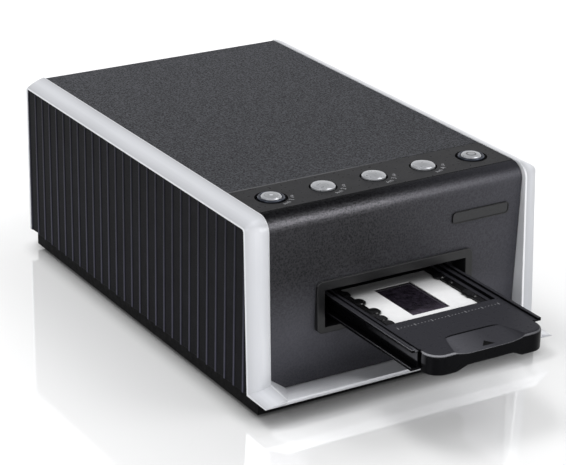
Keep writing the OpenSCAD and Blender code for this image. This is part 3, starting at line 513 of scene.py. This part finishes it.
def film_dark():
    """Dark film with a painted violet sheen at its front end, and a pale line inside its right and rear
    edges.
    """
    a = Mat("film_dark", (0.010, 0.008, 0.012), 0.22, specular=0.12)
    a.shades(a.noise(2.4, 6.0, 0.65), 0.3, 2.4, 0.35, 0.75)
    low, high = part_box("film_chip")
    front, right, rear = low[1] / MM, high[0] / MM, high[1] / MM
    cloud = a.noise(3.5, 4.0, vector=a.stretched(0.5, 1, 1))
    # painted sheen, violet and cloudy, towards the front end
    glow = a.times(cloud, a.along("Y", front + 2, front + 13, 1, 0))
    a.tint(a.fade(glow, 0.2, 0.9), (0.085, 0.07, 0.095))
    lines = a.most(a.between("X", right - 2.6, right - 2.2, 0.1), a.between("Y", rear - 2.8, rear - 2.3, 0.1))
    inside = a.times(a.along("X", right - 2.2, right - 2.1, 1, 0), a.along("Y", rear - 2.3, rear - 2.2, 1, 0))
    a.tint(a.times(lines, inside), (0.06, 0.055, 0.065))
    a.bump(a.noise(9, 1.0), 0.05, 0.4)
    a.roughness(a.noise(3, 3.0), 0.16, 0.34)
    return a.material


def metal(name, color, rough, stretch=(1, 0.05, 1)):
    """Bare metal, brushed along one axis."""
    a = Mat(name, color, rough, metallic=1.0)
    a.shades(a.noise(3, 3.0), 0.92, 1.05)
    a.rounded(0.2)
    a.bump(a.noise(0.25, 2.0, vector=a.stretched(*stretch)), 0.006, 0.8)
    a.roughness(a.noise(4, 3.0), rough * 0.85, rough * 1.2)
    return a.material


def plain_plastic(name, color, rough, grain=0.4, depth=0.012):
    """Plastic or rubber; grain and depth of its surface are in mm."""
    a = Mat(name, color, rough)
    a.shades(a.noise(5, 3.0), 0.9, 1.08)
    a.rounded(0.25)
    a.bump(a.noise(grain, 2.0), depth, 0.7)
    a.roughness(a.noise(2.2, 3.0), rough * 0.88, min(1.0, rough * 1.14))
    return a.material


def board_green():
    """Circuit board with raised tracks."""
    a = Mat("board_green", (0.020, 0.110, 0.055), 0.34, coat=0.3)
    tracks = a.cells(3.2, "F1", randomness=0.6)
    a.shades(tracks, 0.75, 1.5, 0.42, 0.47)
    a.rounded(0.15)
    a.bump(tracks, 0.03, 0.5)
    a.roughness(a.noise(2, 2.0), 0.28, 0.42)
    return a.material


def lens_glass():
    a = Mat("lens_glass", (0.75, 0.88, 0.92), 0.03)
    a.shader.inputs["Transmission Weight"].default_value = 0.9
    a.shader.inputs["IOR"].default_value = 1.5
    a.roughness(a.noise(4, 2.0), 0.01, 0.05)
    return a.material


def mirror():
    a = Mat("mirror", (0.9, 0.92, 0.93), 0.03, metallic=1.0)
    a.roughness(a.noise(5, 2.0), 0.01, 0.06)
    return a.material


def print_grey(name, shade):
    """Ink of the printed marks."""
    a = Mat(name, (shade, shade, shade * 1.04), 0.5, specular=0.1)
    a.shades(a.noise(0.5, 3.0), 0.75, 1.2)
    a.bump(a.noise(0.2, 1.0), 0.004, 0.5)
    a.roughness(a.noise(0.8, 2.0), 0.45, 0.58)
    return a.material


def matt_black():
    """Painted shade for the gaps round the button holes: black, without any gloss."""
    a = Mat("hole_shade_black", (0.002, 0.002, 0.0022), 0.9, specular=0.0)
    a.shades(a.noise(0.6, 2.0), 0.5, 1.5)
    a.bump(a.noise(0.3, 1.0), 0.004, 0.5)
    return a.material


SLOT_MATERIALS = {
    "silver_paint": painted_silver(),
    "slat_black": slat_black(),
    "grain_charcoal": charcoal("grain_charcoal").material,
    "grain_black": panel_black(),
    "strip_black": smooth_black("strip_black", 0.021, 0.3, specular=0.04),
    "bezel_black": smooth_black("bezel_black", 0.011, 0.34, edge=0.6, specular=0.34, lip_highlight=0.05),
    "badge_black": badge_black(),
    "sill_silver": sill_silver(),
    "base_black": smooth_black("base_black", 0.006, 0.6, specular=0.04),
    "foot_rubber": plain_plastic("foot_rubber", (0.025, 0.025, 0.026), 0.8, 0.3, 0.03),
    "steel": metal("steel", (0.55, 0.55, 0.56), 0.32),
    "holder_black": holder_black(),
    "clip_black": smooth_black("clip_black", 0.005, 0.12, specular=0.3),
    "mount_white": mount_white(),
    "film_dark": film_dark(),
    "chassis_grey": plain_plastic("chassis_grey", (0.16, 0.16, 0.17), 0.6),
    "bush_brass": metal("bush_brass", (0.70, 0.52, 0.24), 0.3),
    "tyre_rubber": plain_plastic("tyre_rubber", (0.03, 0.03, 0.034), 0.75, 0.25, 0.03),
    "gear_ivory": plain_plastic("gear_ivory", (0.72, 0.69, 0.60), 0.45),
    "motor_can": metal("motor_can", (0.48, 0.48, 0.50), 0.36, (0.05, 1, 1)),
    "board_green": board_green(),
    "diffuser_white": plain_plastic("diffuser_white", (0.86, 0.88, 0.90), 0.4),
    "mirror": mirror(),
    "lens_glass": lens_glass(),
    "chip_dark": plain_plastic("chip_dark", (0.02, 0.02, 0.022), 0.55, 0.2, 0.01),
    "port_metal": metal("port_metal", (0.60, 0.61, 0.62), 0.28),
}

# nodes with a material of their own, in place of the one for their slot
NODE_MATERIALS = {
    "top_cover": cover_charcoal(),
    "button_rings": metal("ring_metal", (0.10, 0.11, 0.14), 0.38),
    "guide_rails": smooth_black("rail_black", 0.012, 0.4, edge=0.4, specular=0.15, lip_highlight=0.1),
}
CAP_RADIUS, RINGED_CAP_RADIUS = 6.1, 5.2
for i, rings in enumerate((DISC_CAP, PLAIN_CAP, PLAIN_CAP, PLAIN_CAP, POWER_CAP)):
    radius = RINGED_CAP_RADIUS if i in RINGED_BUTTONS else CAP_RADIUS
    cap = button_silver(f"button_silver_{i + 1}", button_middle(i), radius, rings)
    NODE_MATERIALS[f"button_{i + 1}"] = cap


def dress(obj, material):
    obj.data.materials.clear()
    obj.data.materials.append(material)


for part in frame["record"]["subparts"]:
    dress(nodes[part["node"]], NODE_MATERIALS.get(part["node"]) or SLOT_MATERIALS[part["material_slot"]])


# ---------------------------------------------------------------- printed marks, in mm
def printed(name, loops, top, body, material, thick=0.05):
    """Thin raised marks: each loop of (x, y) is a prism that ends just above the height top(x, y)."""
    bm = bmesh.new()
    for loop in loops:
        low = [bm.verts.new((x * MM, y * MM, (top(x, y) - 2 * thick) * MM)) for x, y in loop]
        high = [bm.verts.new((x * MM, y * MM, (top(x, y) + thick) * MM)) for x, y in loop]
        bm.faces.new(high)
        bm.faces.new(low[::-1])
        for i in range(len(loop)):
            j = (i + 1) % len(loop)
            bm.faces.new((low[i], low[j], high[j], high[i]))
    bmesh.ops.recalc_face_normals(bm, faces=bm.faces)
    mesh = bpy.data.meshes.new(name)
    bm.to_mesh(mesh)
    bm.free()
    obj = bpy.data.objects.new(name, mesh)
    scene.collection.objects.link(obj)
    dress(obj, material)
    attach(obj, body)


def digit(text, centre, size, turn, top, body, material):
    """A plain number that lies on a level face, turned by an angle in radians."""
    curve = bpy.data.curves.new(f"digit_{text}", "FONT")
    curve.body = text
    curve.size = size * MM
    curve.extrude = 0.05 * MM
    curve.align_x = "CENTER"
    curve.align_y = "CENTER"
    shape = bpy.data.objects.new(f"shape_{text}", curve)
    mesh = bpy.data.meshes.new_from_object(shape)
    bpy.data.objects.remove(shape)
    place = Matrix.Translation((centre[0] * MM, centre[1] * MM, top * MM))
    mesh.transform(place @ Matrix.Rotation(turn, 4, "Z"))
    obj = bpy.data.objects.new(f"digit_{text}", mesh)
    scene.collection.objects.link(obj)
    dress(obj, material)
    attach(obj, body)


def polar(centre, radius, angle):
    """The point at a distance and an angle in radians from a centre."""
    return centre[0] + radius * math.cos(angle), centre[1] + radius * math.sin(angle)


def round_spot(centre, radius, sides=10):
    return [polar(centre, radius, 2 * math.pi * k / sides) for k in range(sides)]


def arc_dash(centre, radius, width, start, end, steps):
    """A dash of an arc round a centre, between two angles in degrees."""
    angles = [math.radians(start + (end - start) * k / steps) for k in range(steps + 1)]
    outer = [polar(centre, radius + width / 2, angle) for angle in angles]
    inner = [polar(centre, radius - width / 2, angle) for angle in angles]
    return outer + inner[::-1]


def radial_tick(centre, inner, outer, width, angle):
    """A short stroke that points at a centre, at an angle in degrees."""
    c, s = math.cos(math.radians(angle)), math.sin(math.radians(angle))
    return [(centre[0] + r * c - w * s, centre[1] + r * s + w * c)
            for r, w in ((inner, -width / 2), (outer, -width / 2), (outer, width / 2), (inner, width / 2))]


def on_strip(x, y):
    return STRIP_TOP


def on_handle(x, y):
    return HANDLE_TOP


ARROW_FRONT = HOLDER_FRONT + 2.6
ARROW_DEPTH = 2.16
ARROW_LENGTH = 4
ARROW_RISE = 0.37


def on_scoop(x, y):
    """The floor of the finger scoop under the arrow, which rises towards the rear."""
    return RAIL_TOP - ARROW_DEPTH + (y - ARROW_FRONT) / ARROW_LENGTH * ARROW_RISE


HOLE_RADIUS, RINGED_HOLE_RADIUS = 6.73, 7.83
RIM_WIDTH = 0.5
RIM_STEP = 45
LABEL_COUNT = 4
LABEL_REACH = 10.2
LABEL_ANGLE = math.radians(-44)
LABEL_SIZE = 3.8
STROKE = 0.36
# angle in degrees, and how far a stroke starts inside the label's circle or a dash lies outside it
LABEL_STROKES = ((-83, 0.9), (-76, 0.4), (-69, 0.9), (-62, 0.4), (-27, 0.4), (-20, 0.9), (-13, 0.4))
LABEL_DASHES = ((-83, 0.1), (-69, -0.6), (-20, 0.6))

label_grey = print_grey("label_grey", 0.30)
hole_shade_black = matt_black()


def hole_shade_ring(i):
    """A dark ring of painted shade round the hole of a button."""
    radius = (RINGED_HOLE_RADIUS if i in RINGED_BUTTONS else HOLE_RADIUS) + 0.1
    dashes = [arc_dash(button_middle(i), radius, RIM_WIDTH, angle, angle + RIM_STEP, 6)
              for angle in range(0, 360, RIM_STEP)]
    printed(f"hole_rim_{i + 1}", dashes, on_strip, "housing", hole_shade_black, thick=0.03)


def label(i):
    """A button's number, with strokes and dashes beside it that stand in for the photo's words."""
    middle = button_middle(i)
    digit(str(i + 1), polar(middle, LABEL_REACH, LABEL_ANGLE), LABEL_SIZE, LABEL_ANGLE + math.pi / 2,
          STRIP_TOP, "housing", label_grey)
    strokes = [radial_tick(middle, LABEL_REACH - inside, LABEL_REACH + 0.9, STROKE, angle)
               for angle, inside in LABEL_STROKES]
    strokes += [arc_dash(middle, LABEL_REACH + outside, STROKE, angle, angle + 6, 2)
                for angle, outside in LABEL_DASHES]
    printed(f"label_{i + 1}", strokes, on_strip, "housing", label_grey)


for i in range(BUTTON_COUNT):
    hole_shade_ring(i)
    if i < LABEL_COUNT:
        label(i)

arrow = [(-3, ARROW_FRONT), (4, ARROW_FRONT), (0.4, ARROW_FRONT + ARROW_LENGTH)]
arrow_black = print_grey("arrow_black", 0.004)
printed("scoop_arrow", [arrow], on_scoop, "holder", arrow_black, thick=0.08)

TICK_Y = HOLDER_FRONT + 34.5
TICK_LEFT, TICK_RIGHT = -29, 30
TICK_GAPS = 30
BAR_EVERY = 5
BAR_X, BAR_Y = 0.25, 1
CORNERS = ((-1, -1), (1, -1), (1, 1), (-1, 1))
ticks = []
for k in range(TICK_GAPS + 1):
    x = TICK_LEFT + (TICK_RIGHT - TICK_LEFT) / TICK_GAPS * k
    if k % BAR_EVERY:
        ticks.append(round_spot((x, TICK_Y), 0.32))
    else:
        ticks.append([(x + sx * BAR_X, TICK_Y + sy * BAR_Y) for sx, sy in CORNERS])
printed("holder_ticks", ticks, on_handle, "holder", print_grey("tick_grey", 0.2))

# ---------------------------------------------------------------- floor, world and lamps, in metres
WHITE = (1, 1, 1, 1)
FLOOR_SIZE = 9
FLOOR_WHITE = (0.93, 0.93, 0.925, 1)
FLOOR_SHINE, FLOOR_SHINE_FAR, SHINE_FADE = 0.46, 0.2, 0.15
CONTACT_SHADOW = 0.012
FLOOR_LIFT = 0.22
FAR_LIFT, FAR_START, FAR_END = 0.5, 0.35, 1.1
WORLD_COLOR = (0.96, 0.97, 1.0, 1)
WORLD_LIGHT = 0.5
CEILING, CEILING_START, CEILING_END = 0.12, 0.25, 0.5


def floor_white():
    """White paper with a contact shadow, a gloss that fades away from the object and a glow seen directly."""
    material = bpy.data.materials.new("floor_white")
    t = Tree(material, "ShaderNodeOutputMaterial")
    shade_near = {"Color": FLOOR_WHITE, "Distance": CONTACT_SHADOW}
    contact = t.node("ShaderNodeAmbientOcclusion", shade_near, samples=AO_SAMPLES).outputs
    paper = t.node("ShaderNodeBsdfDiffuse", {"Color": contact["Color"]}).outputs[0]
    gloss = t.node("ShaderNodeBsdfGlossy", {"Color": WHITE, "Roughness": 0.06}).outputs[0]
    place = t.node("ShaderNodeTexCoord").outputs["Object"]
    beyond = t.vector("SUBTRACT", t.vector("ABSOLUTE", place), (BAND_OUT * MM, REAR_Y * MM, 0))
    off_object = t.vector("LENGTH", t.vector("MAXIMUM", beyond, (0, 0, 0)))
    surface = t.mixed(t.fade(off_object, 0, SHINE_FADE, FLOOR_SHINE, FLOOR_SHINE_FAR), paper, gloss)
    lift = t.times(t.seen_directly(), FLOOR_LIFT, contact["AO"])
    far_lift = t.fade(t.vector("LENGTH", place), FAR_START, FAR_END, 0, FAR_LIFT)
    camera_ray = t.node("ShaderNodeLightPath").outputs["Is Camera Ray"]
    strength = t.calc("MULTIPLY_ADD", camera_ray, far_lift, lift)
    glow = t.node("ShaderNodeEmission", {"Color": WHITE, "Strength": strength}).outputs[0]
    both = t.node("ShaderNodeAddShader", {0: surface, 1: glow}).outputs[0]
    t.put(both, t.out.inputs[0])
    return material


def floor():
    bm = bmesh.new()
    bmesh.ops.create_grid(bm, x_segments=1, y_segments=1, size=FLOOR_SIZE)
    mesh = bpy.data.meshes.new("floor")
    bm.to_mesh(mesh)
    bm.free()
    obj = bpy.data.objects.new("floor", mesh)
    scene.collection.objects.link(obj)
    obj.data.materials.append(floor_white())
    obj.location = (0, 0, -0.2 * MM)


def world():
    """Plain light on things; the camera sees it white, and reflections and glass see it darken overhead."""
    scene.world = bpy.data.worlds.new("world")
    t = Tree(scene.world, "ShaderNodeOutputWorld")
    lit = t.node("ShaderNodeBackground", {0: WORLD_COLOR, 1: WORLD_LIGHT}).outputs[0]
    way = t.node("ShaderNodeTexCoord").outputs["Generated"]
    height = t.node("ShaderNodeSeparateXYZ", {0: way}).outputs["Z"]
    sky = t.fade(height, CEILING_START, CEILING_END, 1, CEILING)
    camera_ray = t.node("ShaderNodeLightPath").outputs["Is Camera Ray"]
    seen = t.node("ShaderNodeBackground", {0: WHITE, 1: t.most(camera_ray, sky)}).outputs[0]
    t.put(t.mixed(t.seen_directly(), lit, seen), t.out.inputs[0])


def area_light(name, place, target, size, power):
    """A lamp that faces a target; size is its width and height."""
    data = bpy.data.lights.new(name, "AREA")
    data.shape = "RECTANGLE"
    data.size, data.size_y = size
    data.energy = power
    obj = bpy.data.objects.new(name, data)
    scene.collection.objects.link(obj)
    obj.location = place
    obj.rotation_mode = "QUATERNION"
    obj.rotation_quaternion = (Vector(target) - Vector(place)).to_track_quat("-Z", "Y")
    return obj


def only_on(light, obj):
    """The light falls on this object alone."""
    group = bpy.data.collections.new(f"{light.name}_lit")
    group.objects.link(obj)
    light.light_linking.receiver_collection = group


floor()
world()
area_light("key", (0.70, -0.55, 1.40), (0, -0.05, 0.05), (0.7, 0.7), 6)
softbox = area_light("panel_softbox", (0.25, -0.78, 0.42), (-0.045, -0.128, 0.085), (0.2, 0.40), 10.5)
softbox.visible_diffuse = False
softbox.visible_camera = False
only_on(softbox, nodes["front_panel"])
area_light("left_fill", (-1.6, -0.6, 0.9), (0, -0.05, 0.05), (0.8, 0.8), 7)
area_light("front_fill", (-0.1, -1.9, 0.8), (0, -0.1, 0.05), (0.9, 0.6), 5)
top_box = area_light("top_box", (-0.35, 0.15, 1.5), (0, -0.12, 0.05), (0.6, 0.5), 10)
top_box.visible_glossy = False

scene.view_settings.view_transform = "Standard"

make_camera()
